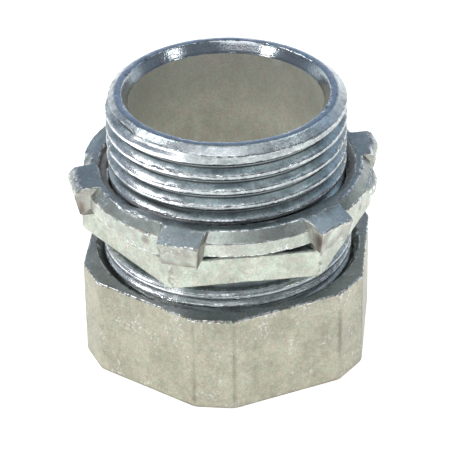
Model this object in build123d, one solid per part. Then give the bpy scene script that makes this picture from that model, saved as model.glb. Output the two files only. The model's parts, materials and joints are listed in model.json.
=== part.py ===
from build123d import *

import os
from math import radians, tan

# A compression connector for 1-inch thin-wall conduit (EMT), in millimetres.
# Z is the axis of the conduit. The origin is on it, in the bottom face of the compression nut,
# and the threaded hub points up. A clocking angle is counted from -Y towards +X.

# ---- heights above the bottom face of the compression nut ----
TOTAL_HEIGHT = 38.5
LOCKNUT_TOP = 27.5
HEX_TOP = 22.75
HEX_BOTTOM = 18.5
NUT_HEIGHT = 14.5
BODY_END = 8.0
GLAND_RING_BOTTOM = 2.9

# ---- connector body ----
RIM_R = 15.3
RIM_CHAMFER_HEIGHT = 1.0
THROAT_R = 13.4
THROAT_LIP_R = 14.3
THROAT_FLARE = 1.6
SOCKET_R = 14.95
SOCKET_STOP = 21.0
SOCKET_MOUTH_R = 16.2
HEX_FLATS = 35.8
HEX_CORNERS = 41.0
HEX_CLOCKING = 7.5

# ---- hub thread, 11 turns to the inch ----
HUB_R = 16.6
HUB_PITCH = 25.4 / 11
HUB_DEPTH = 1.15
HUB_CREST = 0.5
HUB_RELIEF = 1.5
HUB_TURNS = 7
HUB_GROOVE_END = 37.35
HUB_GROOVE_CLOCKING = -55.0

# ---- gland thread, 1 3/8-18, shared by the body and the compression nut ----
GLAND_R = 17.46
GLAND_PITCH = 25.4 / 18
GLAND_DEPTH = 0.76
GLAND_CREST = 0.2
GLAND_FIRST_CREST = 15.87
GLAND_RELIEF = 1.5
GLAND_PLAY = 0.13
GLAND_TURNS = 8

# ---- compression nut ----
NUT_FLATS = 39.15
NUT_CORNERS = 42.0
NUT_CLOCKING = 24.0
NUT_EDGE = 0.3
NUT_HOLE_R = 15.2
NUT_FLOOR = 2.7
NUT_SEAT_R = 15.4
NUT_MOUTH_R = 18.45
NUT_MOUTH_DEPTH = 1.1
NUT_TURNS = 7

# ---- gland ring ----
RING_INNER_R = 15.0
RING_OUTER_R = 16.5
RING_HEIGHT = 4.2
RING_BEVEL = 1.1
RING_SPLIT = 1.6
RING_SPLIT_CLOCKING = 150.0

# ---- locknut ----
LOCKNUT_R = 20.05
LOCKNUT_FLAT_R = 18.8
LOCKNUT_MOUTH_R = 17.85
LOCKNUT_BORE_R = 16.75
LOCKNUT_GROOVE_R = 17.65
LOCKNUT_RING_HEIGHT = 3.5
LOCKNUT_SLOPE = 1.4
LOCKNUT_FOOT_GAP = 0.05
LOCKNUT_CLOCKING = -18.0
LOCKNUT_TURNS = 4
LUG_COUNT = 6
LUG_TIP_R = 22.3
LUG_FLAT_R = 19.3
LUG_SLOPE = 1.3
LUG_WIDTH = 6.4
LUG_FOOT_R = 21.1
LUG_FOOT_WIDTH = 5.2

FLANK = tan(radians(30))
NECK_STEP = 0.15
OPEN = 0.12
TURN = 1.002
PAST = 1.0


def turned(*points):
    """The solid of revolution about Z of a closed outline of (radius, height) points."""
    outline = Polyline(*[(r, 0, z) for r, z in points], close=True)
    return revolve(make_face(outline), axis=Axis.Z)


def hexagon(flats, bottom, top, clocking):
    """A hexagonal prism with one flat facing the clocking angle."""
    outline = RegularPolygon(radius=flats / 2, side_count=6, major_radius=False)
    prism = extrude(Rot(0, 0, clocking - 60) * outline, top - bottom)
    return Pos(0, 0, bottom) * prism


def corner_cut_hexagon(flats, corners, bottom, top, clocking):
    """A hexagonal prism whose six corners are cut to short flats."""
    corner_cutter = hexagon(corners, bottom, top, clocking + 30)
    return hexagon(flats, bottom, top, clocking) & corner_cutter


def cut_helix(solid, open_r, floor_r, floor_width, pitch, turns, end_height, end_clocking=0.0):
    """Cut a right-hand helical groove with 30 degree flanks, one turn at a time.

    The groove narrows from open_r to floor_width at floor_r. It climbs to end_height, where
    its middle meets the end clocking angle.
    """
    open_width = floor_width + 2 * abs(open_r - floor_r) * FLANK
    outline = Polyline(
        (floor_r, 0, -floor_width / 2),
        (open_r, 0, -open_width / 2),
        (open_r, 0, open_width / 2),
        (floor_r, 0, floor_width / 2),
        close=True,
    )
    path = Helix(pitch=pitch, height=TURN * pitch, radius=floor_r)
    turn = Rot(0, 0, end_clocking - 90) * sweep(make_face(outline), path=path, is_frenet=True)
    for i in range(1, turns + 1):
        solid -= Pos(0, 0, end_height - i * pitch) * turn
    return solid


def hub():
    """The threaded hub that goes through the wall of a box, down to the flange."""
    minor_r = HUB_R - HUB_DEPTH
    neck_r = minor_r - NECK_STEP
    neck_top = HEX_TOP + HUB_RELIEF
    blank = turned(
        (0, HEX_BOTTOM + PAST),
        (neck_r, HEX_BOTTOM + PAST),
        (neck_r, neck_top),
        (HUB_R, neck_top),
        (HUB_R, TOTAL_HEIGHT - RIM_CHAMFER_HEIGHT),
        (RIM_R, TOTAL_HEIGHT),
        (0, TOTAL_HEIGHT),
    )
    floor_width = HUB_PITCH - HUB_CREST - 2 * HUB_DEPTH * FLANK
    return cut_helix(
        blank,
        HUB_R + OPEN,
        minor_r,
        floor_width,
        HUB_PITCH,
        HUB_TURNS,
        HUB_GROOVE_END,
        HUB_GROOVE_CLOCKING,
    )


def gland_end():
    """The threaded lower end, from the flange down to the mouth of the socket."""
    minor_r = GLAND_R - GLAND_DEPTH
    neck_r = minor_r - NECK_STEP
    neck_bottom = HEX_BOTTOM - GLAND_RELIEF
    blank = turned(
        (0, BODY_END),
        (neck_r, BODY_END),
        (GLAND_R, BODY_END + GLAND_R - neck_r),
        (GLAND_R, neck_bottom),
        (neck_r, neck_bottom),
        (neck_r, HEX_BOTTOM + PAST),
        (0, HEX_BOTTOM + PAST),
    )
    floor_width = GLAND_PITCH - GLAND_CREST - 2 * GLAND_DEPTH * FLANK
    groove_end = GLAND_FIRST_CREST + 1.5 * GLAND_PITCH
    return cut_helix(
        blank, GLAND_R + OPEN, minor_r, floor_width, GLAND_PITCH, GLAND_TURNS, groove_end
    )


def connector_body():
    """Hub, hexagon flange and gland end, cast in one piece around one bore."""
    flange = corner_cut_hexagon(HEX_FLATS, HEX_CORNERS, HEX_BOTTOM, HEX_TOP, HEX_CLOCKING)
    bore = turned(
        (0, BODY_END - PAST),
        (SOCKET_MOUTH_R + PAST, BODY_END - PAST),
        (SOCKET_R, BODY_END + SOCKET_MOUTH_R - SOCKET_R),
        (SOCKET_R, SOCKET_STOP),
        (THROAT_R, SOCKET_STOP),
        (THROAT_R, TOTAL_HEIGHT - THROAT_FLARE),
        (THROAT_LIP_R, TOTAL_HEIGHT),
        (THROAT_LIP_R, TOTAL_HEIGHT + PAST),
        (0, TOTAL_HEIGHT + PAST),
    )
    return hub() + flange + gland_end() - bore


def compression_nut():
    """The hexagonal nut that squeezes the gland ring onto the conduit."""
    outside = corner_cut_hexagon(NUT_FLATS, NUT_CORNERS, 0, NUT_HEIGHT, NUT_CLOCKING)
    end_faces = outside.faces().sort_by(Axis.Z)
    outside = chamfer(end_faces[0].edges() + end_faces[-1].edges(), NUT_EDGE)
    bore_r = GLAND_R - GLAND_DEPTH + GLAND_PLAY
    cavity = turned(
        (0, -PAST),
        (NUT_HOLE_R + PAST + 2 * NUT_EDGE, -PAST),
        (NUT_HOLE_R, 2 * NUT_EDGE),
        (NUT_HOLE_R, NUT_FLOOR),
        (NUT_SEAT_R, NUT_FLOOR),
        (bore_r, NUT_FLOOR + bore_r - NUT_SEAT_R),
        (bore_r, NUT_HEIGHT - NUT_MOUTH_DEPTH - (GLAND_R + GLAND_PLAY - bore_r)),
        (GLAND_R + GLAND_PLAY, NUT_HEIGHT - NUT_MOUTH_DEPTH),
        (NUT_MOUTH_R, NUT_HEIGHT),
        (NUT_MOUTH_R, NUT_HEIGHT + PAST),
        (0, NUT_HEIGHT + PAST),
    )
    floor_width = GLAND_CREST + 2 * GLAND_PLAY * (1 - FLANK)
    return cut_helix(
        outside - cavity,
        bore_r - OPEN,
        GLAND_R + GLAND_PLAY,
        floor_width,
        GLAND_PITCH,
        NUT_TURNS,
        GLAND_FIRST_CREST,
    )


def gland_ring():
    """The split ring with bevelled ends that grips the conduit."""
    bevel_r = RING_OUTER_R - RING_BEVEL
    top = GLAND_RING_BOTTOM + RING_HEIGHT
    ring = turned(
        (RING_INNER_R, GLAND_RING_BOTTOM),
        (bevel_r, GLAND_RING_BOTTOM),
        (RING_OUTER_R, GLAND_RING_BOTTOM + RING_BEVEL),
        (RING_OUTER_R, top - RING_BEVEL),
        (bevel_r, top),
        (RING_INNER_R, top),
    )
    split = Pos(0, -RING_OUTER_R, GLAND_RING_BOTTOM + RING_HEIGHT / 2) * Box(
        RING_SPLIT, RING_OUTER_R, RING_HEIGHT + 2 * PAST
    )
    return ring - Rot(0, 0, RING_SPLIT_CLOCKING) * split


def locknut_lug():
    """One driving lug on the -Y side: wide and level at the top, narrower at its foot."""
    foot = HEX_TOP + LOCKNUT_FOOT_GAP
    inner_r = LOCKNUT_MOUTH_R + PAST / 2

    def level(height, width, outer_r):
        middle = (inner_r + outer_r) / 2
        return Pos(0, -middle, height) * Rectangle(width, outer_r - inner_r)

    block = loft(
        [level(foot, LUG_FOOT_WIDTH, LUG_FOOT_R), level(LOCKNUT_TOP, LUG_WIDTH, LUG_TIP_R)]
    )
    slope_end = LUG_TIP_R + PAST
    slope = LUG_SLOPE / (LUG_TIP_R - LUG_FLAT_R)
    envelope = turned(
        (0, foot - PAST),
        (slope_end, foot - PAST),
        (slope_end, LOCKNUT_TOP - slope * (slope_end - LUG_FLAT_R)),
        (LUG_FLAT_R, LOCKNUT_TOP),
        (0, LOCKNUT_TOP),
    )
    return block & envelope


def locknut():
    """The lugged ring that clamps a box wall against the body's hexagon."""
    bottom = LOCKNUT_TOP - LOCKNUT_RING_HEIGHT
    mouth_height = LOCKNUT_MOUTH_R - LOCKNUT_BORE_R
    ring = turned(
        (LOCKNUT_BORE_R, bottom),
        (LOCKNUT_R, bottom),
        (LOCKNUT_R, LOCKNUT_TOP - LOCKNUT_SLOPE),
        (LOCKNUT_FLAT_R, LOCKNUT_TOP),
        (LOCKNUT_MOUTH_R, LOCKNUT_TOP),
        (LOCKNUT_BORE_R, LOCKNUT_TOP - mouth_height),
    )
    nut = cut_helix(
        ring,
        LOCKNUT_BORE_R - OPEN,
        LOCKNUT_GROOVE_R,
        HUB_CREST,
        HUB_PITCH,
        LOCKNUT_TURNS,
        LOCKNUT_TOP + HUB_PITCH,
    )
    for i in range(LUG_COUNT):
        nut += Rot(0, 0, LOCKNUT_CLOCKING + i * 360 / LUG_COUNT) * locknut_lug()
    return nut


NODES = {
    "connector_body": connector_body,
    "locknut": locknut,
    "compression_nut": compression_nut,
    "gland_ring": gland_ring,
}

os.makedirs("parts", exist_ok=True)
for name, make in NODES.items():
    solid = make()
    solid.label = name
    export_step(solid, f"parts/{name}.step")
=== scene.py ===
import json
from math import asin, cos, degrees, log, pi, radians, sin, tan

import bmesh
import bpy
import numpy as np
from mathutils import Matrix, Vector, noise


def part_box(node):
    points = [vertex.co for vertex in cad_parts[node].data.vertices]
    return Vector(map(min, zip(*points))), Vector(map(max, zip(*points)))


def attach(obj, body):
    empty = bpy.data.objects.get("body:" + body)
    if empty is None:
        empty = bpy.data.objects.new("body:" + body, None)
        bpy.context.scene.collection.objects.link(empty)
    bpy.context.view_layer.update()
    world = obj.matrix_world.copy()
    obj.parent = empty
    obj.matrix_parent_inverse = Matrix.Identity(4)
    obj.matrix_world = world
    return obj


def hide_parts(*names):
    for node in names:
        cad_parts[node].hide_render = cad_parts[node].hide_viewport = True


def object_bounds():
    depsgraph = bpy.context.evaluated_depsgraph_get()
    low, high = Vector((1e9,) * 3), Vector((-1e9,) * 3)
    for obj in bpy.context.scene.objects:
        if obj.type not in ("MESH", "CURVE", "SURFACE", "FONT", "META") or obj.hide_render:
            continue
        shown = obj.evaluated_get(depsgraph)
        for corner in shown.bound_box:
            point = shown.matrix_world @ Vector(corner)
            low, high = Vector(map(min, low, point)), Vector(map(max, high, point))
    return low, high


# A conduit compression connector as tumbled zinc castings. Sizes are in millimetres and become
# metres when a mesh is made. A clocking angle is in degrees from -Y (the front) towards +X.

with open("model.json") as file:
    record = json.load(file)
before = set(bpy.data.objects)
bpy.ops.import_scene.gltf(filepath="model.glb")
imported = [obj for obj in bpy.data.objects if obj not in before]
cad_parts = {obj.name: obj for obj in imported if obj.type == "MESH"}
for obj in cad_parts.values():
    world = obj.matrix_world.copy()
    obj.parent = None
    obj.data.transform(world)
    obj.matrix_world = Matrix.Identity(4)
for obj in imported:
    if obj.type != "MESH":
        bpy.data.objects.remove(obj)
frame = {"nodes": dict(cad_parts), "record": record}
cad_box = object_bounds()
MM = 0.001
TURN = 360.0
FLANK = tan(radians(30))


def box_mm(node):
    """Lowest and highest corner of a CAD node, in millimetres."""
    low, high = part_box(node)
    return low / MM, high / MM


body_low, body_high = box_mm("connector_body")
nut_high = box_mm("compression_nut")[1]
lock_low, lock_high = box_mm("locknut")
mounts = {m["name"]: m for m in frame["record"]["mounts"]}

# ---- connector body ----
TOP = body_high.z
BODY_END = body_low.z
HEX_TOP = 22.75
HEX_BOTTOM = 18.5
HEX_FLATS = 35.8
HEX_CORNER_R = 20.45
HEX_CLOCKING = 7.5
THROAT_R = mounts["throat_bore"]["dims"]["r_mm"]
SOCKET_R = mounts["conduit_socket"]["dims"]["r_mm"]
LIP_R = 14.3
RIM_R = 15.3
FLARE = 1.6
RIM_CHAMFER = 1.0
SOCKET_STOP = 21.0
SOCKET_MOUTH_R = 16.2

# ---- hub thread ----
HUB_R = mounts["hub_thread"]["dims"]["r_mm"]
HUB_PITCH = 25.4 / 11
HUB_DEPTH = 1.15
HUB_NECK_R = 15.3
HUB_NECK_TOP = HEX_TOP + 1.5
HUB_CREST = 0.5
HUB_CREST_EXTRA = 0.04  # added to each side of the CAD's crest
HUB_SOFT = 0.1
HUB_GROOVE_END = 37.35
HUB_CLOCKING = -55.0
TIP_DEPTH = 0.98
TIP_GROOVE_END = 5.0
# From HUB_CLOCKING the last groove loses this share of its depth in RUN_OUT_STEEP degrees, holds
# up to RUN_OUT_LEVEL degrees, and fades out by the clocking TIP_GROOVE_END.
RUN_OUT_SHARE = 0.72
RUN_OUT_STEEP = 7
RUN_OUT_LEVEL = 10

# ---- gland thread ----
GLAND_R = 17.46
GLAND_PITCH = 25.4 / 18
GLAND_DEPTH = 0.76
GLAND_CREST = 0.2
GLAND_CREST_EXTRA = 0.09  # the same, and within the nut thread's play
GLAND_SOFT = 0.07
GLAND_NECK_R = 16.55
GLAND_FIRST_CREST = 15.87
GLAND_TOP = HEX_BOTTOM - 1.5
GLAND_PLAY = 0.13
# Heights above the nut's top between which the gland's crest widens.
WIDE_CREST_START = 0.35
WIDE_CREST_FULL = 0.6

# ---- compression nut ----
NUT_TOP = nut_high.z
NUT_FLATS = 39.15
NUT_CORNERS = 42.0
NUT_CLOCKING = 24.0
NUT_SHORT_HALF = 2.78
NUT_CORNER_R = 21.15
NUT_ROUND_R = 21.1
NUT_MOUTH_R = 18.45
NUT_MOUTH_DEPTH = 1.1
NUT_HOLE_R = 15.2
NUT_FLOOR = 2.7
NUT_SEAT_R = 15.4
NUT_SOFT = 0.05

# ---- locknut ----
LOCK_TOP = lock_high.z
LUG_FOOT = lock_low.z
LOCK_BOTTOM = LOCK_TOP - 3.5
LOCK_R = 20.05
LOCK_FLAT_R = 18.8
LOCK_SLOPE = 1.4
LOCK_MOUTH_R = 17.85
LOCK_BORE_R = 16.75
LOCK_GROOVE_R = 17.65
LOCK_HALF_FLOOR = 0.25
LOCK_SOFT = 0.06
LOCK_CLOCKING = -18.0
LUG_COUNT = 6
LUG_STEP = TURN / LUG_COUNT
LUG_TIP_R = 22.3
LUG_FOOT_R = 21.1
LUG_FLAT_R = 19.3
LUG_SLOPE = 1.3
LUG_HALF = 3.2
LUG_FOOT_HALF = 2.6
LUG_ROOT_R = 18.35
LUG_REACH = LUG_STEP / 2

# ---- what is uneven on the locknut ----
# Four numbers are the clockings or heights where hill() starts, is full, fades and ends.
DIP_CLOCKING = -35.0
DIP_DEPTH = 0.95
RIDGE_START = -52.0
RIDGE_END = 62.0
RIDGE_RISE = 0.6
RIGHT_LUG = LOCK_CLOCKING + 2 * LUG_STEP
LEFT_LUG = LOCK_CLOCKING + 5 * LUG_STEP
LEFT_FLAT_R = 21.2
RIGHT_FLAT_R = 20.2
RIGHT_TRIM = 1.3
GATE_RISE = 0.85
GATE_SIDE = (66, 79, 84, 93)
GATE_HEIGHT = (23.2, 24.6, 25.3, 26.4)
GENTLE_SIDE = (-160, -135, -99, -92)
GENTLE_SHARE = 0.85

# ---- the lit side for painted highlights and shade, dull lines on the nut's corners, and the angle from which an edge is shaded as sharp ----
# Clockings where the hub's crests get a painted highlight and its grooves deeper painted shade.
LIT_SIDE = (-75, -58, -30, -14)
NUT_SEAM_MIDDLE = 34.0
NUT_SEAM_REACH = 50.0
SHARP_ANGLE = 50



# ---------------------------------------------------------------- mesh making


class Casting:
    """A closed surface around Z, laid out as rings of one point per column."""

    def __init__(self, columns):
        self.columns = np.asarray(columns, float)
        self.count = len(self.columns)
        self.points = []
        self.used = 0
        self.faces = []
        self.zones = []

    def ring(self, radius, height, columns=None):
        """Add one ring and return its point numbers."""
        angle = np.radians(self.columns if columns is None else columns)
        radius = np.broadcast_to(np.asarray(radius, float), self.count)
        height = np.broadcast_to(np.asarray(height, float), self.count)
        across = radius * np.sin(angle)
        back = -radius * np.cos(angle)
        self.points.append(np.column_stack([across, back, height]))
        ids = np.arange(self.used, self.used + self.count)
        self.used += self.count
        return ids

    def strip(self, first, second, zone, seam=None):
        """Faces between two rows of points. seam is the pair that follows the last column."""
        next_first, next_second = seam if seam else (first[0], second[0])
        a = list(first) + [next_first]
        b = list(second) + [next_second]
        for i in range(self.count):
            corners = []
            for point in (a[i], a[i + 1], b[i + 1], b[i]):
                if point not in corners:
                    corners.append(int(point))
            if len(corners) > 2:
                self.faces.append(corners)
                self.zones.append(zone)

    def chain(self, rings, zone):
        """Faces between each ring and the next."""
        for first, second in zip(rings, rings[1:]):
            self.strip(first, second, zone)

    def rings(self, outline, zone, start=None):
        """A chain of plain round rings from (radius, height) points, joined to start."""
        made = ([start] if start is not None else []) + [self.ring(r, z) for r, z in outline]
        self.chain(made, zone)
        return made[-1]

    def thread(self, low, high, low_z, high_z, pitch, groove_z, cuts, surface, zone):
        """Rows that climb with the thread, between two flat rings.

        groove_z is a groove's height at the first column, cuts are the rows' heights above it
        within one pitch, and surface gives the radius at columns and heights.
        """
        near = 0.03  # a row closer than this to an end ring becomes that ring
        climb = pitch * (self.columns - self.columns[0]) / TURN
        steps = len(cuts)

        def height(k):
            return groove_z + pitch * (k // steps) + cuts[k % steps]

        k = -steps * int((groove_z - low_z) / pitch + 3)
        while height(k + 1) + pitch <= low_z:
            k += 1
        rows = {}
        first = k
        while True:
            z = height(k) + climb
            inside = (z > low_z + near) & (z < high_z - near)
            row = np.where(z <= low_z + near, low, high)
            if inside.any():
                ids = self.ring(surface(self.columns, z), z)
                row = np.where(inside, ids, row)
            rows[k] = row
            if height(k) >= high_z:
                break
            k += 1
        for j in range(first, k):
            seam = (rows.get(j + steps, high)[0], rows.get(j + 1 + steps, high)[0])
            self.strip(rows[j], rows[j + 1], zone, seam)

    def mesh(self, name):
        """The Blender mesh, in metres, without the points that no face uses."""
        points = np.concatenate(self.points) * MM
        used = np.unique(np.concatenate([np.array(face) for face in self.faces]))
        number = np.full(len(points), -1)
        number[used] = np.arange(len(used))
        data = bpy.data.meshes.new(name)
        faces = [[int(number[i]) for i in face] for face in self.faces]
        data.from_pydata(points[used].tolist(), [], faces)
        data.polygons.foreach_set("material_index", self.zones)
        tool = bmesh.new()
        tool.from_mesh(data)
        bmesh.ops.recalc_face_normals(tool, faces=tool.faces)
        tool.to_mesh(data)
        tool.free()
        return data


def polygon_radius(columns, faces, corner_r):
    """Distance from the axis to a polygon with softly rounded corners.

    faces holds (clocking, distance) for each side. corner_r is the rounded corners' radius.
    """
    sharp = polygon_corner(faces)
    power = log(2) / log(sharp / corner_r)  # puts the rounded corner at corner_r
    total = np.zeros(len(columns))
    for clocking, distance in faces:
        lean = np.cos(np.radians(np.asarray(columns) - clocking))
        total += np.where(lean > 0.5, lean / distance, 0.5 / distance) ** power
    return total ** (-1 / power)


def polygon_corner(faces):
    """Radius of the sharp corner between the first two sides."""
    (a, d), (b, e) = faces[0], faces[1]
    between = radians(abs(b - a))
    lean = np.arctan2(e / d - cos(between), sin(between))
    return d / cos(lean)


def soft_min(a, b, reach):
    """The smaller of two values, rounded where they meet."""
    mix = np.clip(0.5 + 0.5 * (b - a) / reach, 0, 1)
    return b * (1 - mix) + a * mix - reach * mix * (1 - mix)


def soft_step(value, low, high):
    """0 below low, 1 above high, smooth between."""
    t = np.clip((value - low) / (high - low), 0, 1)
    return t * t * (3 - 2 * t)


def hill(value, start, full, fade, end):
    """0 outside start and end, 1 from full to fade, smooth between."""
    return soft_step(value, start, full) * (1 - soft_step(value, fade, end))


def groove_depth(columns, z, clocking, groove_z, pitch, profile):
    """Depth of a helical groove, from a profile of (distance from its middle, depth) points."""
    phase = (z - groove_z) / pitch - (columns - clocking) / TURN
    away = np.abs(phase - np.round(phase)) * pitch
    return np.interp(away, [p[0] for p in profile], [p[1] for p in profile])


def mirrored_cuts(distances, pitch):
    """Row heights within a pitch for rows on both sides of a groove's middle."""
    return sorted({0.0, *distances, *(pitch - d for d in distances), pitch / 2})


def thread_profile(depth, half_floor, soft):
    """A 60 degree groove with rounded floor corners and rounded crest edges."""
    half_open = half_floor + depth * FLANK
    return [
        (0.0, depth - 0.2 * soft),
        (half_floor - 0.6 * soft, depth - 0.35 * soft),
        (half_floor + 0.3 * soft, depth - 0.95 * soft),
        (half_open - 0.75 * soft, 1.5 * soft),
        (half_open - 0.2 * soft, 0.65 * soft),
        (half_open + 0.5 * soft, 0.15 * soft),
        (half_open + 1.1 * soft, 0.0),
    ]


# ---------------------------------------------------------------- connector body

CAST, THREAD, THROAT, LIP, GLAND = range(5)

hex_faces = [(HEX_CLOCKING + 60 * i, HEX_FLATS / 2) for i in range(6)]
hub_half_floor = (HUB_PITCH - HUB_CREST - 2 * HUB_DEPTH * FLANK) / 2
hub_profile = thread_profile(HUB_DEPTH, hub_half_floor - HUB_CREST_EXTRA, HUB_SOFT)
gland_half_floor = (GLAND_PITCH - GLAND_CREST - 2 * GLAND_DEPTH * FLANK) / 2
gland_profile = thread_profile(GLAND_DEPTH, gland_half_floor - GLAND_CREST_EXTRA, GLAND_SOFT)
# The crest above the nut is wide and round: (distance from the groove's middle, depth).
open_profile = [(0, 0.55), (0.08, 0.52), (0.2, 0.28), (0.3, 0.13)]
open_profile += [(0.4, 0.07), (0.52, 0.025), (0.6, 0.01), (0.7, 0)]
gland_groove_z = GLAND_FIRST_CREST + GLAND_PITCH * (0.5 + HUB_CLOCKING / TURN)


def hub_surface(columns, z):
    """Radius of the threaded hub. The last groove runs out past its end clocking."""
    depth = groove_depth(columns, z, HUB_CLOCKING, HUB_GROOVE_END, HUB_PITCH, hub_profile)
    above = z - HUB_GROOVE_END - HUB_PITCH * (columns - HUB_CLOCKING) / TURN
    run_out = 1 - RUN_OUT_SHARE * soft_step(columns, HUB_CLOCKING, HUB_CLOCKING + RUN_OUT_STEEP)
    run_out *= 1 - soft_step(columns, HUB_CLOCKING + RUN_OUT_LEVEL, TIP_GROOVE_END)
    depth = np.where(above > -HUB_PITCH / 2, depth * run_out, depth)
    cone = RIM_R + (TOP - z) * (HUB_R - RIM_R) / RIM_CHAMFER
    return soft_min(HUB_R - depth, cone, 0.1)


def gland_surface(columns, z):
    """Radius of the gland thread, with its bevelled lower end and a wide crest above the nut.

    The wide crest starts above the height that the nut's inside thread reaches when it turns.
    """
    depth = groove_depth(columns, z, HUB_CLOCKING, gland_groove_z, GLAND_PITCH, gland_profile)
    narrow = groove_depth(columns, z, HUB_CLOCKING, gland_groove_z, GLAND_PITCH, open_profile)
    depth += (narrow - depth) * soft_step(z, NUT_TOP + WIDE_CREST_START, NUT_TOP + WIDE_CREST_FULL)
    return soft_min(GLAND_R - depth, GLAND_NECK_R + z - BODY_END, 0.08)


def hex_edge(casting, outline, height, side, radius, steps=5):
    """Rings around a rounded polygon edge, from its end face out to its sides.

    side is 1 for the upper edge and -1 for the lower one.
    """
    made = []
    for i in range(steps + 1):
        angle = pi / 2 * i / steps
        inset = radius * (1 - sin(angle))
        drop = side * radius * (1 - cos(angle))
        made.append(casting.ring(outline - inset, height - drop))
    return made


def body_lip(casting):
    """The flared lip and the flat rim. Returns the lip's lowest ring and the rim's outer one."""
    lip_start = casting.ring(THROAT_R, TOP - FLARE)
    flare = [(THROAT_R + 0.05, TOP - FLARE + 0.07)]
    for share in (0.12, 0.3, 0.5, 0.7, 0.9):
        flare.append((THROAT_R + (LIP_R - THROAT_R) * share, TOP - FLARE * (1 - share)))
    rim = [(LIP_R - 0.02, TOP - 0.08), (LIP_R + 0.03, TOP - 0.02), (LIP_R + 0.12, TOP)]
    rim += [(14.8, TOP), (RIM_R - 0.12, TOP), (RIM_R, TOP - 0.03)]
    return lip_start, casting.rings(flare + rim, LIP, lip_start)


def body_hub(casting, rim):
    """The bevelled tip and the hub thread. Returns the ring at the thread's foot."""
    tip = [rim]
    for below in (0.11, 0.22, 0.34, 0.46, 0.58, 0.7, 0.8, 0.9, TIP_DEPTH):
        z = TOP - below
        tip.append(casting.ring(hub_surface(casting.columns, z), z))
    casting.chain(tip, THREAD)
    low_z = HUB_NECK_TOP + 0.12
    high_z = TOP - TIP_DEPTH
    first_groove = HUB_GROOVE_END - 6 * HUB_PITCH
    foot = casting.ring(hub_surface(casting.columns, low_z), low_z)
    cuts = mirrored_cuts((0.12, 0.22, 0.3, 0.45, 0.62, 0.8, 0.88, 0.94, 1.0), HUB_PITCH)
    casting.thread(
        foot, tip[-1], low_z, high_z, HUB_PITCH, first_groove, cuts, hub_surface, THREAD
    )
    return foot


def body_hexagon(casting, hub_foot):
    """The hub's neck and the hexagon flange. Returns the flange's lowest ring."""
    outline = polygon_radius(casting.columns, hex_faces, HEX_CORNER_R)
    neck = [(HUB_NECK_R, HUB_NECK_TOP), (HUB_NECK_R, HEX_TOP + 0.3)]
    neck += [(HUB_NECK_R + 0.3, HEX_TOP), (17.0, HEX_TOP)]
    neck = casting.rings(neck, CAST, hub_foot)
    upper = hex_edge(casting, outline, HEX_TOP, 1, radius=0.28)
    sides = [casting.ring(outline, z) for z in np.linspace(HEX_TOP - 0.45, HEX_BOTTOM + 0.4, 9)]
    lower = hex_edge(casting, outline, HEX_BOTTOM, -1, radius=0.22)[::-1]
    casting.chain([neck, casting.ring(outline - 0.5, HEX_TOP), *upper, *sides, *lower], CAST)
    return lower[-1]


def body_gland(casting, flange):
    """The lower neck and the gland thread. Returns the ring at the thread's foot."""
    under = [(17.3, HEX_BOTTOM), (GLAND_NECK_R + 0.25, HEX_BOTTOM)]
    neck = [(GLAND_NECK_R, HEX_BOTTOM - 0.25), (GLAND_NECK_R, GLAND_TOP)]
    # The neck under the hexagon takes the gland's lighter finish, as painted light against the
    # hexagon's shade.
    neck = casting.rings(neck, GLAND, casting.rings(under, CAST, flange))
    high_z = GLAND_TOP - 0.08
    low_z = BODY_END + 0.08
    head = casting.ring(gland_surface(casting.columns, high_z), high_z)
    foot = casting.ring(gland_surface(casting.columns, low_z), low_z)
    casting.strip(neck, head, GLAND)
    cuts = mirrored_cuts((0.07, 0.14, 0.24, 0.32, 0.42, 0.54, 0.62), GLAND_PITCH)
    casting.thread(
        foot, head, low_z, high_z, GLAND_PITCH, gland_groove_z, cuts, gland_surface, GLAND
    )
    return foot


def body_bore(casting, gland_foot, lip_start):
    """The bevelled mouth, the conduit's socket and stop, and the throat up to the lip."""
    socket_low = BODY_END + SOCKET_MOUTH_R - SOCKET_R
    mouth = [(GLAND_NECK_R - 0.08, BODY_END), (SOCKET_MOUTH_R + 0.05, BODY_END)]
    mouth += [(SOCKET_MOUTH_R - inward, BODY_END + inward) for inward in (0.08, 0.3)]
    mouth += [(SOCKET_R + 0.25, socket_low - 0.25)]
    heights = (socket_low, socket_low + 0.35, 12, 15, 18, SOCKET_STOP - 0.5, SOCKET_STOP - 0.1)
    socket = [(SOCKET_R, z) for z in heights]
    ledge = [(SOCKET_R - 0.1, SOCKET_STOP), (THROAT_R + 0.1, SOCKET_STOP)]
    throat = [(THROAT_R, SOCKET_STOP + 0.1)]
    throat += [(THROAT_R, z) for z in np.linspace(SOCKET_STOP + 0.4, TOP - FLARE - 0.12, 14)]
    last = casting.rings(mouth + socket + ledge + throat, THROAT, gland_foot)
    casting.strip(last, lip_start, THROAT)


def make_body():
    casting = Casting(HUB_CLOCKING + np.arange(360.0))
    lip_start, rim = body_lip(casting)
    hub_foot = body_hub(casting, rim)
    flange = body_hexagon(casting, hub_foot)
    gland_foot = body_gland(casting, flange)
    body_bore(casting, gland_foot, lip_start)
    return casting


# ---------------------------------------------------------------- compression nut

nut_faces = [(NUT_CLOCKING + 30 * i, (NUT_CORNERS if i % 2 else NUT_FLATS) / 2) for i in range(12)]
nut_bore_r = GLAND_R - GLAND_DEPTH + GLAND_PLAY
nut_half_floor = (GLAND_CREST + 2 * GLAND_PLAY * (1 - FLANK)) / 2
nut_profile = thread_profile(GLAND_DEPTH, nut_half_floor, NUT_SOFT)


def nut_thread_surface(columns, z):
    """Radius of the nut's inside thread."""
    depth = groove_depth(columns, z, 0.0, GLAND_FIRST_CREST, GLAND_PITCH, nut_profile)
    return nut_bore_r + depth


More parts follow.
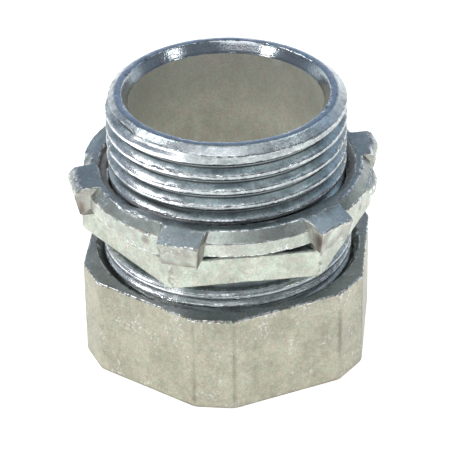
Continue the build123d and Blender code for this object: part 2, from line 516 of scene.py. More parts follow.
def nut_outside(casting, mouth):
    """The top, the sides and the bottom edge. Returns the lowest ring."""
    outline = polygon_radius(casting.columns, nut_faces, NUT_ROUND_R)
    top = casting.rings([(NUT_MOUTH_R + 0.06, NUT_TOP), (NUT_MOUTH_R + 0.4, NUT_TOP)], CAST, mouth)
    upper = hex_edge(casting, outline, NUT_TOP, 1, radius=0.3)
    sides = [casting.ring(outline, z) for z in np.linspace(NUT_TOP - 0.5, 0.55, 22)]
    lower = hex_edge(casting, outline, 0.0, -1, radius=0.32)[::-1]
    casting.chain([top, casting.ring(outline - 0.5, NUT_TOP), *upper, *sides, *lower], CAST)
    return lower[-1]


def nut_hole(casting, bottom):
    """The conduit's hole and the seat for the gland ring. Returns the seat's inner ring."""
    hole = [(17.5, 0.0), (NUT_HOLE_R + 0.65, 0.0), (NUT_HOLE_R + 0.5, 0.06)]
    hole += [(NUT_HOLE_R + 0.03, 0.55), (NUT_HOLE_R, 0.7), (NUT_HOLE_R, 1.0)]
    hole += [(NUT_HOLE_R, NUT_FLOOR - 0.4), (NUT_HOLE_R, NUT_FLOOR - 0.1)]
    hole += [(NUT_HOLE_R + 0.06, NUT_FLOOR), (NUT_SEAT_R, NUT_FLOOR + 0.02)]
    return casting.rings(hole, CAST, bottom)


def nut_thread(casting, seat, mouth):
    """The bevelled seat, the inside thread and the step at the mouth."""
    high_z = NUT_TOP - NUT_MOUTH_DEPTH
    low_z = NUT_FLOOR + nut_bore_r - NUT_SEAT_R
    foot = casting.ring(nut_thread_surface(casting.columns, low_z), low_z)
    head = casting.ring(nut_thread_surface(casting.columns, high_z), high_z)
    casting.strip(seat, foot, CAST)
    cuts = mirrored_cuts((0.12, 0.24, 0.4, 0.55, 0.62), GLAND_PITCH)
    casting.thread(
        foot, head, low_z, high_z, GLAND_PITCH, GLAND_FIRST_CREST, cuts, nut_thread_surface, THREAD
    )
    step = casting.ring(GLAND_R + GLAND_PLAY + 0.02, high_z + 0.06)
    casting.chain([head, step, mouth], CAST)


def make_nut():
    casting = Casting(np.arange(0.0, 360.0, 0.75))
    mouth = casting.ring(NUT_MOUTH_R, NUT_TOP - 0.05)
    bottom = nut_outside(casting, mouth)
    seat = nut_hole(casting, bottom)
    nut_thread(casting, seat, mouth)
    return casting


# ---------------------------------------------------------------- locknut

lock_profile = thread_profile(LOCK_GROOVE_R - LOCK_BORE_R, LOCK_HALF_FLOOR, LOCK_SOFT)


def lug_half_angle(radius, height):
    """Half the angle that a lug takes up: its sides are parallel, and closer at its foot."""
    share = np.clip((height - LUG_FOOT) / (LOCK_TOP - LUG_FOOT), 0, 1)
    half = LUG_FOOT_HALF + (LUG_HALF - LUG_FOOT_HALF) * share
    return np.degrees(np.arcsin(half / radius))


def lock_columns():
    """Clocking of the columns, close together at the lugs' sides."""
    side = float(lug_half_angle(LOCK_R, LOCK_TOP))
    near = [-0.75, -0.5, -0.3, -0.12, 0.12, 0.3, 0.5, 0.75]
    inside = list(np.linspace(-side + 1.2, side - 1.2, 21))
    outside = list(np.arange(side + 1.3, LUG_REACH - 0.3, 0.8))
    half = sorted([side + n for n in near] + outside)
    sector = sorted([-h for h in half] + inside + half)
    return [LOCK_CLOCKING + LUG_STEP * i + c for i in range(LUG_COUNT) for c in sector]


class Locknut(Casting):
    """The locknut's surface. Its columns bend so that the sides of each lug stay parallel."""

    def __init__(self):
        super().__init__(lock_columns())
        nearest = np.round((self.columns - LOCK_CLOCKING) / LUG_STEP)
        self.middle = LOCK_CLOCKING + LUG_STEP * nearest
        self.offset = self.columns - self.middle
        self.side = float(lug_half_angle(LOCK_R, LOCK_TOP))
        self.lug = 1 - soft_step(np.abs(self.offset), self.side - 0.5, self.side + 0.5)
        self.turned = (self.columns + 180) % 360 - 180
        self.slope = LOCK_SLOPE * (1 - GENTLE_SHARE * hill(self.turned, *GENTLE_SIDE))
        dip_side = [DIP_CLOCKING + d for d in (-16, -9, 8, 9)]
        self.wall_foot = LOCK_BOTTOM - DIP_DEPTH * hill(self.columns, *dip_side)
        ridge = hill(self.turned, RIDGE_START, RIDGE_START + 14, RIDGE_END - 12, RIDGE_END)
        self.mouth_r = LOCK_MOUTH_R - RIDGE_RISE * ridge
        self.shape_lugs()
        foot = self.add_bore()
        self.add_outside(foot)

    def shape_lugs(self):
        """How far out each lug's top is flat, and how much its tip is trimmed."""
        right_lug = np.abs(self.middle - RIGHT_LUG) < 1
        left_lug = np.abs(self.middle - LEFT_LUG) < 1
        right_flat_r = RIGHT_FLAT_R + RIGHT_TRIM * soft_step(self.offset, -8, 8)
        right_trim = RIGHT_TRIM * (1 - soft_step(self.offset, -9, 3))
        self.flat_r = np.where(left_lug, LEFT_FLAT_R, LUG_FLAT_R)
        self.flat_r = np.where(right_lug, right_flat_r, self.flat_r)
        self.trim = np.where(right_lug, right_trim, 0.0)

    def warped(self, radius, height):
        """Columns moved so that those at a lug's sides stay parallel to its middle."""
        here = lug_half_angle(radius, height)
        away = np.abs(self.offset)
        inner = away / self.side * here
        outer = LUG_REACH - (LUG_REACH - away) / (LUG_REACH - self.side) * (LUG_REACH - here)
        return self.middle + np.sign(self.offset) * np.where(away < self.side, inner, outer)

    def warped_ring(self, radius, height):
        return self.ring(radius, height, self.warped(radius, height))

    def level_ring(self, radius, height):
        return self.warped_ring(np.full(self.count, radius), height)

    def tip_r(self, z):
        """Radius of the lugs' tips, which lean and are flat across."""
        share = (z - LUG_FOOT) / (LOCK_TOP - LUG_FOOT)
        lean = LUG_FOOT_R + (LUG_TIP_R - LUG_FOOT_R) * share
        return lean / np.cos(np.radians(self.offset)) - self.trim

    def outer_ring(self, share_out, share_down, inset=0.0):
        """A ring on the sloped top (share_out 0 to 1) or on the outer wall (share_down 0 to 1)."""
        tip_z = LOCK_TOP - LUG_SLOPE
        lug_z = tip_z + (LUG_FOOT - tip_z) * share_down
        wall_z = LOCK_TOP - self.slope + (self.wall_foot - LOCK_TOP + self.slope) * share_down
        lug_r = LOCK_FLAT_R + (self.tip_r(lug_z) - LOCK_FLAT_R) * share_out
        wall_r = LOCK_FLAT_R + (LOCK_R - LOCK_FLAT_R) * share_out
        if share_down == 0:
            lug_slope = LUG_SLOPE / (LUG_TIP_R - self.trim - self.flat_r)
            lug_z = LOCK_TOP - lug_slope * np.clip(lug_r - self.flat_r, 0, None)
            wall_z = LOCK_TOP - self.slope * share_out
        radius = wall_r + (lug_r - wall_r) * self.lug - inset
        height = wall_z + (lug_z - wall_z) * self.lug
        gate = hill(self.turned, *GATE_SIDE) * hill(height, *GATE_HEIGHT) * (1 - self.lug)
        return self.warped_ring(radius + GATE_RISE * gate, height)

    def bore_surface(self, at, z):
        """Radius of the inside thread, with a bevel at its top."""
        depth = groove_depth(at, z, 0.0, LOCK_TOP, HUB_PITCH, lock_profile)
        cone = self.mouth_r - (LOCK_TOP - z)
        return -soft_min(-(LOCK_BORE_R + depth), -cone, 0.08)

    def add_bore(self):
        """The inside thread and the top's inner edge. Returns the thread's lowest ring."""
        low_z = LOCK_BOTTOM + 0.05
        high_z = LOCK_TOP - 0.1
        head = self.ring(self.bore_surface(self.columns, high_z), high_z)
        foot = self.ring(self.bore_surface(self.columns, low_z), low_z)
        cuts = mirrored_cuts((0.12, 0.25, 0.4, 0.6, 0.72, 0.8), HUB_PITCH)
        groove_z = LOCK_TOP + HUB_PITCH * self.columns[0] / TURN - HUB_PITCH
        self.thread(
            foot, head, low_z, high_z, HUB_PITCH, groove_z, cuts, self.bore_surface, THREAD
        )
        self.top = [head, self.ring(self.mouth_r + 0.04, LOCK_TOP - 0.02)]
        self.top += [self.ring(self.mouth_r + 0.12, LOCK_TOP)]
        return foot

    def add_outside(self, foot):
        """The top, the outer wall and the underside, down to the thread's lowest ring."""
        top = self.top
        top += [self.ring(LOCK_MOUTH_R + 0.16, LOCK_TOP)]
        top += [self.level_ring(r, LOCK_TOP) for r in (18.3, LOCK_FLAT_R - 0.1)]
        slope_shares = (0.04, 0.12, 0.3, 0.5, 0.7, 0.85, 0.93, 0.975)
        top += [self.outer_ring(share, 0) for share in slope_shares]
        wall = [self.outer_ring(1, 0.012, 0.06), self.outer_ring(1, 0.04, 0.015)]
        wall += [self.outer_ring(1, share) for share in (0.09, 0.2, 0.35, 0.5, 0.65, 0.8, 0.92)]
        wall += [self.outer_ring(1, 0.97, 0.02), self.outer_ring(1, 0.995, 0.09)]
        wall += [self.outer_ring(1, 1, 0.25)]
        bottom_z = self.wall_foot + (LUG_FOOT - self.wall_foot) * self.lug
        foot_r = LOCK_R + (self.tip_r(LUG_FOOT) - LOCK_R) * self.lug - 0.25
        under = []
        for share in (0.3, 0.7, 1.0):
            under.append(self.warped_ring(foot_r + (LUG_ROOT_R - foot_r) * share, bottom_z))
        under += [self.level_ring(r, LOCK_BOTTOM) for r in (LUG_ROOT_R - 0.08, 17.5)]
        under += [self.ring(LOCK_GROOVE_R - 0.4, LOCK_BOTTOM)]
        self.chain(top + wall + under, CAST)
        self.strip(under[-1], foot, CAST)


# ---------------------------------------------------------------- wear, stains and painted light on a casting


def edge_values(data):
    """How far each point stands out of its neighbours: over 0 on an edge, under 0 in a hollow."""
    count = len(data.vertices)
    points = np.empty(count * 3)
    normals = np.empty(count * 3)
    data.vertices.foreach_get("co", points)
    data.vertices.foreach_get("normal", normals)
    points = points.reshape(-1, 3)
    normals = normals.reshape(-1, 3)
    ends = np.empty(len(data.edges) * 2, int)
    data.edges.foreach_get("vertices", ends)
    ends = ends.reshape(-1, 2)
    along = points[ends[:, 0]] - points[ends[:, 1]]
    along /= np.maximum(np.linalg.norm(along, axis=1), 1e-9)[:, None]
    total = np.zeros(count)
    number = np.zeros(count)
    for here, sign in ((ends[:, 0], 1), (ends[:, 1], -1)):
        np.add.at(total, here, sign * np.einsum("ij,ij->i", normals[here], along))
        np.add.at(number, here, 1)
    return total / np.maximum(number, 1), points, normals


def wear_down(data, dent, nick, seed, keep_level=None):
    """Press the surface in a little, unevenly, and knock nicks out of its edges."""
    edge, points, normals = edge_values(data)
    shift = Vector((seed * 13.1, seed * 7.7, seed * 3.3))
    depth = np.empty(len(points))
    for i, point in enumerate(points):
        at = Vector(point) / MM
        broad = 0.5 + 0.5 * noise.noise(at / 5.0 + shift)
        fine = 0.5 + 0.5 * noise.noise(at / 1.3 - shift)
        depth[i] = dent * (0.75 * broad + 0.25 * fine)
        if edge[i] > 0.05:
            chip = noise.noise(at / 0.9 + shift * 2) + 0.5 * noise.noise(at / 2.6 - shift)
            depth[i] += nick * min(edge[i] * 4, 1.0) * max(0.0, chip - 0.12) * 2.2
    if keep_level is not None:
        depth[np.abs(points[:, 2] - keep_level * MM) < 0.02 * MM] = 0.0
    points -= normals * (depth * MM)[:, None]
    data.vertices.foreach_set("co", points.ravel())
    data.update()


def clocking_of(points):
    """Each point's clocking, from -180 to 180 degrees."""
    return np.degrees(np.arctan2(points[:, 0], -points[:, 1]))


def near_point(points, clocking, radius, height, reach):
    """1 at a place on the part, fading to 0 at reach."""
    angle = radians(clocking)
    place = Vector((radius * sin(angle), -radius * cos(angle), height))
    away = np.linalg.norm(points - np.array(place), axis=1)
    return 1 - soft_step(away, reach * 0.45, reach)


def body_marks(points):
    """Dirt near the throat's mouth, painted shade low in the hub's grooves, and rubbed thread
    crests that carry a painted highlight on the lit side.
    """
    radius = np.hypot(points[:, 0], points[:, 1])
    z = points[:, 2]
    hub = (z > HUB_NECK_TOP) & (radius > HUB_R - HUB_DEPTH - 0.1)
    gland = (z < GLAND_TOP) & (radius > GLAND_NECK_R - 0.2)
    lit_side = hill(clocking_of(points), *LIT_SIDE)

    # Painted shade in the hub's grooves: strongest just above the locknut, and reaching higher on
    # the lit side.
    low = 0.7 * (1 - soft_step(z, LOCK_TOP + 1.4, LOCK_TOP + 2.6))
    low += 0.8 * (1 - soft_step(z, LOCK_TOP + 2.0, LOCK_TOP + 7.5)) * lit_side
    groove_shade = np.clip((HUB_R - radius) / HUB_DEPTH * 1.6 - 0.3, 0, 1) * low * hub
    film = 0.55 * soft_step(z, 26.0, 34.0) * (radius < THROAT_R + 0.2)

    # Thread crests: a little wear all round, and a wide painted highlight on the lit side.
    reach = 0.3 + 0.6 * lit_side
    below_chamfer = z < TOP - RIM_CHAMFER
    hub_crest = hub * (1 - soft_step(HUB_R - radius, 0.05, reach)) * below_chamfer
    gland_crest = gland * (1 - soft_step(GLAND_R - radius, 0.05, reach))
    rub_and_highlight = hub_crest * (0.1 + 1.9 * lit_side) + gland_crest * (0.05 + 1.9 * lit_side)
    # The rim's bevel is brightened all round: wear with a painted highlight.
    rub_and_highlight += 0.4 * (z > TOP - RIM_CHAMFER) * (radius > RIM_R)
    return groove_shade + film, rub_and_highlight


def nut_marks(points):
    """Dull broken lines down the nut's upright corners, and a dull bottom edge."""
    z = points[:, 2]
    clocking = clocking_of(points)
    half_short = degrees(asin(NUT_SHORT_HALF / NUT_CORNER_R))
    from_short = np.abs((clocking - NUT_CLOCKING) % 60 - 30)
    away = np.abs(from_short - half_short) * radians(1) * NUT_CORNER_R
    outside = np.hypot(points[:, 0], points[:, 1]) > NUT_FLATS / 2 - 0.3
    side = (z > 0.6) & (z < NUT_TOP - 0.5)
    places = [Vector((x * 0.12, y * 0.12, height * 0.2)) for x, y, height in points]
    broken = [0.5 + 0.9 * noise.noise(place) for place in places]
    front = np.abs((clocking - NUT_SEAM_MIDDLE)) < NUT_SEAM_REACH
    seam = (1 - soft_step(away, 0.08, 0.4)) * outside * side * front
    foot = 0.6 * (1 - soft_step(z, 0.3, 0.5))
    return seam * np.clip(broken, 0.05, 1.0) + foot, np.zeros(len(points))


# Two small flaws on the locknut, and a dark brown spot at its mouth that is painted shade of the
# gap beside the hub: clocking, radius, height and reach of each.
LOCK_SPOTS = [
    (-33.5, LOCK_R, 25.0, 0.9),
    (64.5, LOCK_R, 24.6, 0.7),
    # Painted shade of the gap between the locknut's mouth and the hub, in brown.
    (-88.0, LOCK_MOUTH_R - 0.3, LOCK_TOP - 0.3, 1.0),
]


def lock_marks(points):
    """A brown film on the lugs' tips, dull lug sides, two small casting flaws and a brown spot of
    painted shade at the mouth.
    """
    radius = np.hypot(points[:, 0], points[:, 1])
    z = points[:, 2]
    tip = soft_step(radius, LOCK_R + 0.5, LOCK_R + 1.1)
    tip = tip * (1 - soft_step(z, LOCK_TOP - 1.6, LOCK_TOP - 1.2))
    film = [0.65 + 1.2 * noise.noise(Vector(p) / 1.3) for p in points]
    from_lug = (clocking_of(points) - LOCK_CLOCKING + LUG_REACH) % LUG_STEP
    from_middle = np.abs(from_lug - LUG_REACH)
    side_gap = np.abs(from_middle - lug_half_angle(radius, z)) * radians(1) * radius
    side = (1 - soft_step(side_gap, 0.12, 0.3)) * (radius > LOCK_FLAT_R + 0.4)
    side = side * (z < LOCK_TOP - 0.3)
    spots = sum(near_point(points, *spot) for spot in LOCK_SPOTS)
    return np.clip(tip * np.clip(film, 0, 1) + 0.7 * side + spots, 0, 1.6), np.zeros(len(points))


def store_wear_and_painted_light(data, marks):
    """Keep edges, hollows, stains with painted shade, and rubbed places with painted highlights as
    the point values that the materials read.
    """
    edge, points, _ = edge_values(data)
    stain_and_shade, rub_and_highlight = marks(points / MM)
    bright = np.clip(edge * 8.0, 0, 1) * np.clip(1 - 1.8 * stain_and_shade, 0, 1)
    hollow = np.clip(-edge * 8.0, 0, 1)
    kept = {"edge": bright, "hollow": hollow, "stain_and_shade": stain_and_shade, "rub_and_highlight": rub_and_highlight}
    for name, values in kept.items():
        layer = data.attributes.new(name, "FLOAT", "POINT")
        layer.data.foreach_set("value", values.astype(np.float32))


# ---------------------------------------------------------------- materials


class Shader:
    """A material's node tree, with short calls to add and join nodes."""

    def __init__(self, name):
        self.material = bpy.data.materials.new(name)
        self.material.use_nodes = True
        self.tree = self.material.node_tree
        self.surface = self.tree.nodes["Principled BSDF"]
        self.place = self.tree.nodes.new("ShaderNodeTexCoord").outputs["Object"]

    def join(self, source, target):
        self.tree.links.new(source, target)

    def node(self, kind, **settings):
        made = self.tree.nodes.new(kind)
        for key, value in settings.items():
            setattr(made, key, value)
        return made

    def noise(self, size, detail=3.0, rough=0.55, stretch=None, offset=0.0):
        """Noise whose blotches are about size millimetres across."""
        made = self.node("ShaderNodeTexNoise")
        made.inputs["Scale"].default_value = 1.0
        made.inputs["Detail"].default_value = detail
        made.inputs["Roughness"].default_value = rough
        mapping = self.node("ShaderNodeMapping")
        scale = stretch or (1, 1, 1)
        mapping.inputs["Scale"].default_value = [s / (size * MM) for s in scale]
        mapping.inputs["Location"].default_value = (offset, offset * 0.7, offset * 1.3)
        self.join(self.place, mapping.inputs["Vector"])
        self.join(mapping.outputs["Vector"], made.inputs["Vector"])
        return made.outputs["Fac"]

    def spread(self, value, low, high, out_low=0.0, out_high=1.0):
        made = self.node("ShaderNodeMapRange", interpolation_type="SMOOTHSTEP")
        self.join(value, made.inputs["Value"])
        made.inputs["From Min"].default_value = low
        made.inputs["From Max"].default_value = high
        made.inputs["To Min"].default_value = out_low
        made.inputs["To Max"].default_value = out_high
        return made.outputs["Result"]

    def math(self, operation, a, b):
        made = self.node("ShaderNodeMath", operation=operation)
        for socket, value in zip(made.inputs, (a, b)):
            if isinstance(value, (int, float)):
                socket.default_value = value
            else:
                self.join(value, socket)
        return made.outputs["Value"]

    def mix(self, factor, a, b, blend="MIX"):
        made = self.node("ShaderNodeMix", data_type="RGBA", blend_type=blend)
        for key, value in ((0, factor), (6, a), (7, b)):
            socket = made.inputs[key]
            if isinstance(value, (int, float)):
                socket.default_value = value
            elif isinstance(value, tuple):
                socket.default_value = (*value, 1.0)
            else:
                self.join(value, socket)
        return made.outputs[2]

    def attribute(self, name):
        made = self.node("ShaderNodeAttribute", attribute_name=name)
        return made.outputs["Fac"]


class Zinc(Shader):
    """Tumbled die-cast zinc: mottled colour, fine grain, worn bright edges and painted shade in
    hollows.

    dark and light are the mottling's colours, worn is that of rubbed edges and of painted
    highlights on rubbed crests, and the stain colour is that of stains and of painted shade. One
    number sets how dark hollows are painted, as painted shade, streak is the width of turned
    lines, the sky colour paints a reflection of the room onto upward faces, crystal is how
    strongly patches of bright grains show, and rubbed is how worn the edges are.
    """

    def __init__(
        self, name, dark, light, worn, rough, worn_rough, mottle=1.3, stain_and_shade=0.5, streak=None,
        metal=1.0, sky_reflection=None, stain_and_shade_colour=None, crystal=0.0, rubbed=1.0,
    ):
        super().__init__(name)
        self.name = name
        self.worn = worn
        self.surface.inputs["Metallic"].default_value = metal
        colour = self.mottled(dark, light, mottle)
        if crystal:
            colour = self.crystals(colour, crystal)
        if streak:
            colour = self.turned_lines(colour, streak)
        if sky_reflection:
            colour = self.painted_reflection_above(colour, sky_reflection)
        rough_noise = self.noise(mottle * 0.6, 4.0, 0.6, offset=2.0)
        rough_value = self.spread(rough_noise, 0.3, 0.7, rough[0], rough[1])
        stain_and_shade_colour = stain_and_shade_colour or tuple(0.3 * c for c in dark)
        wear_and_highlight, colour = self.weathered(colour, stain_and_shade_colour, stain_and_shade, rubbed)
        self.join(colour, self.surface.inputs["Base Color"])
        self.set_roughness(wear_and_highlight, rough_value, worn_rough)
        self.set_relief(mottle)

    def times(self, colour, factor, low):
        """colour darkened by low where factor is 0, and as it is where factor is 1."""
        return self.mix(1.0, colour, self.mix(factor, low, (1.0, 1.0, 1.0)), "MULTIPLY")

    def mottled(self, dark, light, mottle):
        """Blotches of two colours, a faint warm and cool drift, and fine grain."""
        broad = self.noise(mottle * 4.5, 3.0, 0.5)
        fine = self.noise(mottle, 5.0, 0.68)
        half_broad = self.math("MULTIPLY", broad, 0.5)
        half_fine = self.math("MULTIPLY", fine, 0.5)
        blotch = self.math("ADD", half_broad, half_fine)
        colour = self.mix(self.spread(blotch, 0.36, 0.64), dark, light)
        warm = self.spread(self.noise(mottle * 0.8, 5.0, 0.7, offset=9.0), 0.35, 0.65)
        drift = self.mix(warm, (0.93, 1.0, 0.97), (1.0, 0.94, 0.93))
        colour = self.mix(1.0, colour, drift, "MULTIPLY")
        grain = self.spread(self.noise(0.26, 3.0, 0.75, offset=4.0), 0.34, 0.66)
        return self.times(colour, grain, (0.78, 0.78, 0.78))

    def crystals(self, colour, strength):
        """Patches of bright grains."""
        patch = self.spread(self.noise(3.2, 3.0, 0.6, offset=12.0), 0.5, 0.66)
        spark = self.spread(self.noise(0.4, 2.0, 0.6, offset=15.0), 0.52, 0.66)
        spark = self.math("MULTIPLY", self.math("MULTIPLY", patch, spark), strength)
        return self.mix(spark, colour, self.worn)

    def turned_lines(self, colour, width):
        """Level lines round the axis, as turning leaves them."""
        lines = self.spread(self.noise(width, 3.0, 0.6, (0.12, 0.12, 1.0), 5.0), 0.35, 0.65)
        return self.times(colour, lines, (0.76, 0.77, 0.78))

    def painted_reflection_above(self, colour, sky_reflection):
        """A painted reflection of the slate room: the colour of upward faces, multiplied by the
        tint.
        """
        facing = self.node("ShaderNodeSeparateXYZ")
        geometry = self.node("ShaderNodeNewGeometry")
        self.join(geometry.outputs["Normal"], facing.inputs["Vector"])
        upward = self.spread(facing.outputs["Z"], 0.5, 0.9)
        return self.mix(upward, colour, self.mix(1.0, colour, sky_reflection, "MULTIPLY"))

    def weathered(self, colour, stain_and_shade_colour, stain_and_shade, rubbed):
        """How worn each place is, counting painted highlights on rubbed crests, and the colour
        with stains, painted shade, worn metal and painted highlights on it.
        """
        edge = self.spread(self.attribute("edge"), 0.25, 0.75)
        patchy = self.spread(self.noise(0.8, 4.0, 0.7, offset=7.0), 0.44, 0.56, 0.0, rubbed)
        dull = self.math("MULTIPLY", edge, self.math("SUBTRACT", 0.6, patchy))
        # Hollows are painted darker, as painted shade.
        hollow = self.spread(self.attribute("hollow"), 0.1, 0.8, 0.0, stain_and_shade)
        # These marks are real stains and flaws, with painted shade in the hub's grooves and at the
        # locknut's mouth.
        stain_and_shade_share = self.math("MULTIPLY", self.attribute("stain_and_shade"), 0.6)
        stained_and_shaded = self.math("MAXIMUM", hollow, self.math("MAXIMUM", dull, stain_and_shade_share))
        colour = self.mix(stained_and_shaded, colour, stain_and_shade_colour)
        smooth = self.spread(self.noise(1.4, 5.0, 0.65, offset=6.0), 0.36, 0.56, 0.2, 1.0)
        # Rubbed crests, which carry a painted highlight on the lit side.
        polish_and_highlight = self.math("MULTIPLY", self.attribute("rub_and_highlight"), smooth)
        polish_and_highlight = self.math("MINIMUM", polish_and_highlight, 1.0)
        wear_and_highlight = self.math("MAXIMUM", self.math("MULTIPLY", edge, patchy), polish_and_highlight)
        clean = self.math("MAXIMUM", self.math("SUBTRACT", 1.0, stain_and_shade_share), 0.0)
        wear_and_highlight = self.math("MULTIPLY", wear_and_highlight, clean)
        return wear_and_highlight, self.mix(wear_and_highlight, colour, self.worn)

    def set_roughness(self, wear_and_highlight, rough_value, worn_rough):
        """Smoother where the metal is worn."""
        sharp = self.node("ShaderNodeMapRange")
        self.join(wear_and_highlight, sharp.inputs["Value"])
        self.join(rough_value, sharp.inputs["To Min"])
        sharp.inputs["To Max"].default_value = worn_rough
        self.join(sharp.outputs["Result"], self.surface.inputs["Roughness"])

    def set_relief(self, mottle):
        """Fine bumps of the cast skin."""
        bump = self.node("ShaderNodeBump")
        bump.inputs["Strength"].default_value = 0.4
        bump.inputs["Distance"].default_value = 0.04 * MM
        fine = self.noise(0.28, 3.0, 0.6, offset=3.0)
        relief = self.math("ADD", fine, self.noise(mottle * 0.5, 3.0, 0.5))
        self.join(relief, bump.inputs["Height"])
        self.join(bump.outputs["Normal"], self.surface.inputs["Normal"])


BRIGHT = (0.98, 0.99, 1.0)
PALE = (0.9, 0.9, 0.9)
# This tint and the upward tints below are painted reflections of the dim slate room on upward
# faces.
SLATE_REFLECTION = (0.8, 0.9, 1.12)

FINISHES = [
    Zinc(
        "body_cast", (0.52, 0.54, 0.46), (0.74, 0.77, 0.67), (0.78, 0.8, 0.74), (0.4, 0.52), 0.35,
        sky_reflection=SLATE_REFLECTION, crystal=0.7, rubbed=0.4,
    ),
    Zinc(
        "body_thread", (0.36, 0.4, 0.41), (0.72, 0.76, 0.75), BRIGHT, (0.26, 0.4), 0.16,
        mottle=0.8, stain_and_shade=0.95, streak=0.35, sky_reflection=(0.88, 0.96, 1.04), rubbed=0.75, crystal=0.5,
    ),
    # This lighter finish also covers the neck under the hexagon, as painted light against its
    # shade.
    Zinc(
        "gland_thread", (0.5, 0.55, 0.57), (0.8, 0.86, 0.88), BRIGHT, (0.3, 0.42), 0.2,
        mottle=0.8, stain_and_shade=0.45, streak=0.35, rubbed=0.6, crystal=0.4,
    ),
    Zinc(
        "throat", (0.66, 0.65, 0.56), (0.82, 0.8, 0.7), PALE, (0.7, 0.8), 0.6,
        mottle=1.6, metal=0.0, stain_and_shade_colour=(0.3, 0.29, 0.25), crystal=0.3,
    ),
    Zinc(
        "lip", (0.6, 0.64, 0.7), (0.74, 0.8, 0.86), BRIGHT, (0.13, 0.22), 0.1,
        mottle=2.5, sky_reflection=(0.92, 0.97, 1.05), rubbed=0.35,
    ),
    Zinc(
        "nut_cast", (0.42, 0.405, 0.325), (0.57, 0.545, 0.44), BRIGHT, (0.4, 0.52), 0.16,
        sky_reflection=(0.95, 1.04, 1.28), crystal=0.4, rubbed=0.85, mottle=1.0,
    ),
    Zinc(
        "nut_thread", (0.36, 0.37, 0.38), (0.52, 0.53, 0.54), (0.8, 0.8, 0.8), (0.4, 0.5), 0.3,
        stain_and_shade=0.4, metal=0.4,
    ),
    Zinc(
        "lock_cast", (0.5, 0.52, 0.46), (0.7, 0.73, 0.65), BRIGHT, (0.32, 0.44), 0.2,
        sky_reflection=(0.72, 0.8, 0.96), stain_and_shade_colour=(0.2, 0.16, 0.14), crystal=0.7, rubbed=0.8,
    ),
    Zinc(
        "lock_thread", (0.5, 0.5, 0.52), (0.72, 0.72, 0.74), PALE, (0.4, 0.5), 0.3,
        stain_and_shade=0.4, metal=0.3, stain_and_shade_colour=(0.3, 0.15, 0.09),
    ),
    Zinc(
        "ring_steel", (0.5, 0.51, 0.53), (0.64, 0.65, 0.67), PALE, (0.25, 0.38), 0.2, streak=0.3
    ),
]
MATERIALS = {finish.name: finish.material for finish in FINISHES}


def make_piece(
    name, casting, body, node, materials, marks, dent, nick, seed, keep_level=None
):
    """A worn casting that stands for a CAD node and rides on its body.

    dent and nick are how deep the skin and the edges are pressed in, and keep_level is a height
    where nothing is.
    """
    data = casting.mesh(name)
    wear_down(data, dent, nick, seed, keep_level)
    store_wear_and_painted_light(data, marks)
    for material in materials:
        data.materials.append(MATERIALS[material])
    data.shade_smooth()
    data.set_sharp_from_angle(angle=radians(SHARP_ANGLE))
    piece = bpy.data.objects.new(name, data)
    bpy.context.scene.collection.objects.link(piece)
    even = piece.modifiers.new("even_shading", "WEIGHTED_NORMAL")
    even.keep_sharp = True
    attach(piece, body)
    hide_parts(node)
    return piece


make_piece(
    "body_casting", make_body(), "fitting_body", "connector_body",
    ("body_cast", "body_thread", "throat", "lip", "gland_thread"), body_marks,
    dent=0.035, nick=0.16, seed=1,
)
make_piece(
    "nut_casting", make_nut(), "compression_nut", "compression_nut",
    ("nut_cast", "nut_thread"), nut_marks, dent=0.09, nick=0.1, seed=2, keep_level=0.0,
)
make_piece(
    "locknut_casting", Locknut(), "locknut", "locknut",
    ("lock_cast", "lock_thread"), lock_marks, dent=0.05, nick=0.22, seed=3,
)

ring = frame["nodes"]["gland_ring"]
ring.data.materials.clear()
ring.data.materials.append(MATERIALS["ring_steel"])

# ---------------------------------------------------------------- floor, light and camera

FLOOR_SIZE = 3.0
FLOOR_GAP = 0.02
FLOOR_GLOW = 0.8


def make_floor():
    """A plain white floor just under the part, which glows a little so that it stays white."""
    half = FLOOR_SIZE / 2
    corners = [(-half, -half, 0), (half, -half, 0), (half, half, 0), (-half, half, 0)]
    data = bpy.data.meshes.new("floor")
    data.from_pydata(corners, [], [(0, 1, 2, 3)])
    floor = bpy.data.objects.new("floor", data)
    bpy.context.scene.collection.objects.link(floor)
    floor.location.z = cad_box[0][2] - FLOOR_GAP * MM
    look = Shader("floor_white")
    look.surface.inputs["Base Color"].default_value = (0.9, 0.9, 0.9, 1)
    look.surface.inputs["Roughness"].default_value = 0.9
    look.surface.inputs["Specular IOR Level"].default_value = 0.1
    look.surface.inputs["Emission Color"].default_value = (1, 1, 1, 1)
    look.surface.inputs["Emission Strength"].default_value = FLOOR_GLOW
    data.materials.append(look.material)


# The room's brightness: (sine of the height above the horizon, colour), on two sides.
OVERHEAD = (0.36, 0.38, 0.4)
BACK_BANDS = [
    (0.0, (0.95, 0.97, 0.98)),
    (0.3, (0.8, 0.84, 0.88)),
    (0.44, (0.26, 0.32, 0.42)),
    (0.78, (0.21, 0.25, 0.3)),
    (1.0, OVERHEAD),
]
FRONT_BANDS = [
    (0.0, (0.6, 0.63, 0.66)),
    (0.1, (0.22, 0.26, 0.33)),
    (0.3, (0.14, 0.16, 0.19)),
    (0.78, (0.16, 0.18, 0.2)),
    (1.0, OVERHEAD),
]
# The Y part of a direction up to which the front side holds, and from which the back does.
FRONT_END = 0.2
BACK_START = 0.65


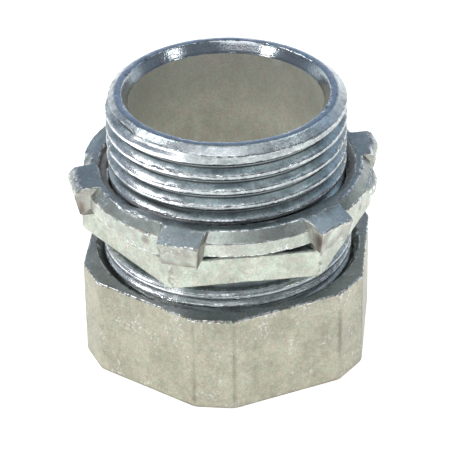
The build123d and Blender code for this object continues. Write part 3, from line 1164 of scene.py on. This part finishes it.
def make_world():
    """A pale horizon under a dim slate room, which is dimmer on the camera's side."""
    world = bpy.data.worlds.new("studio")
    world.use_nodes = True
    bpy.context.scene.world = world
    tree = world.node_tree
    coords = tree.nodes.new("ShaderNodeTexCoord")
    parts = tree.nodes.new("ShaderNodeSeparateXYZ")
    tree.links.new(coords.outputs["Generated"], parts.inputs["Vector"])

    def ramp(bands):
        made = tree.nodes.new("ShaderNodeValToRGB")
        tree.links.new(parts.outputs["Z"], made.inputs["Fac"])
        elements = made.color_ramp.elements
        for element, (height, colour) in ((elements[0], bands[0]), (elements[1], bands[-1])):
            element.position = height
            element.color = (*colour, 1)
        for height, colour in bands[1:-1]:
            elements.new(height).color = (*colour, 1)
        return made.outputs["Color"]

    back = ramp(BACK_BANDS)
    front = ramp(FRONT_BANDS)
    side = tree.nodes.new("ShaderNodeMapRange")
    side.inputs["From Min"].default_value = FRONT_END
    side.inputs["From Max"].default_value = BACK_START
    tree.links.new(parts.outputs["Y"], side.inputs["Value"])
    both = tree.nodes.new("ShaderNodeMix")
    both.data_type = "RGBA"
    tree.links.new(side.outputs["Result"], both.inputs[0])
    tree.links.new(front, both.inputs[6])
    tree.links.new(back, both.inputs[7])
    tree.links.new(both.outputs[2], tree.nodes["Background"].inputs["Color"])
    tree.nodes["Background"].inputs["Strength"].default_value = 1.0


PANEL_AIM = (0, 0, 0.02)
WHITE = (1, 1, 1)


def make_panel(name, direction, distance, size, power, colour=WHITE):
    """A square soft light that faces the part. distance and size are in metres, power in watts."""
    data = bpy.data.lights.new(name, "AREA")
    data.shape = "SQUARE"
    data.size = size
    data.energy = power
    data.color = colour
    lamp = bpy.data.objects.new(name, data)
    bpy.context.scene.collection.objects.link(lamp)
    target = Vector(PANEL_AIM)
    lamp.location = target + Vector(direction).normalized() * distance
    lamp.rotation_euler = (target - lamp.location).to_track_quat("-Z", "Y").to_euler()


make_floor()
make_world()
make_panel("front_top", (-0.21, -0.58, 0.79), 0.6, 0.36, 0.5)
make_panel("left", (-0.76, 0.08, 0.65), 0.7, 0.14, 0.22)
make_panel("overhead", (-0.06, -0.32, 0.94), 0.6, 0.34, 0.28)
make_panel("upper_left", (-0.54, 0.22, 0.81), 0.7, 0.2, 0.7)
make_panel("upper_right", (0.44, 0.12, 0.89), 0.7, 0.2, 0.3, (0.9, 0.98, 1.0))
make_panel("right", (0.6, 0.45, 0.66), 0.7, 0.24, 0.12, (0.6, 0.8, 1.0))
make_panel("front_left", (-0.66, -0.55, 0.5), 0.7, 0.08, 0.3)
make_panel("front_right", (0.78, -0.42, 0.5), 0.7, 0.08, 0.2)

bpy.context.scene.view_settings.view_transform = "Standard"

# The camera looks down at the front of the part from about 36 cm.
CAMERA_DISTANCE = 357.5
CAMERA_ELEVATION = 31.9
CAMERA_ROLL = 0.86
CAMERA_AIM = Vector((-0.39, 0, 16.7))
CAMERA_LENS = 203.0
SENSOR_WIDTH = 36.0
CLIP_START = 0.01


def make_camera():
    rise = radians(CAMERA_ELEVATION)
    roll = radians(CAMERA_ROLL)
    ahead = Vector((0, cos(rise), -sin(rise)))
    up = Vector((0, sin(rise), cos(rise)))
    right = Vector((1, 0, 0))
    rolled_right = right * cos(roll) - up * sin(roll)
    rolled_up = right * sin(roll) + up * cos(roll)
    data = bpy.data.cameras.new("camera")
    data.lens = CAMERA_LENS
    data.sensor_width = SENSOR_WIDTH
    data.clip_start = CLIP_START
    camera = bpy.data.objects.new("camera", data)
    bpy.context.scene.collection.objects.link(camera)
    turn = Matrix((rolled_right, rolled_up, -ahead)).transposed()
    place = (CAMERA_AIM - ahead * CAMERA_DISTANCE) * MM
    camera.matrix_world = Matrix.Translation(place) @ turn.to_4x4()
    bpy.context.scene.camera = camera


make_camera()
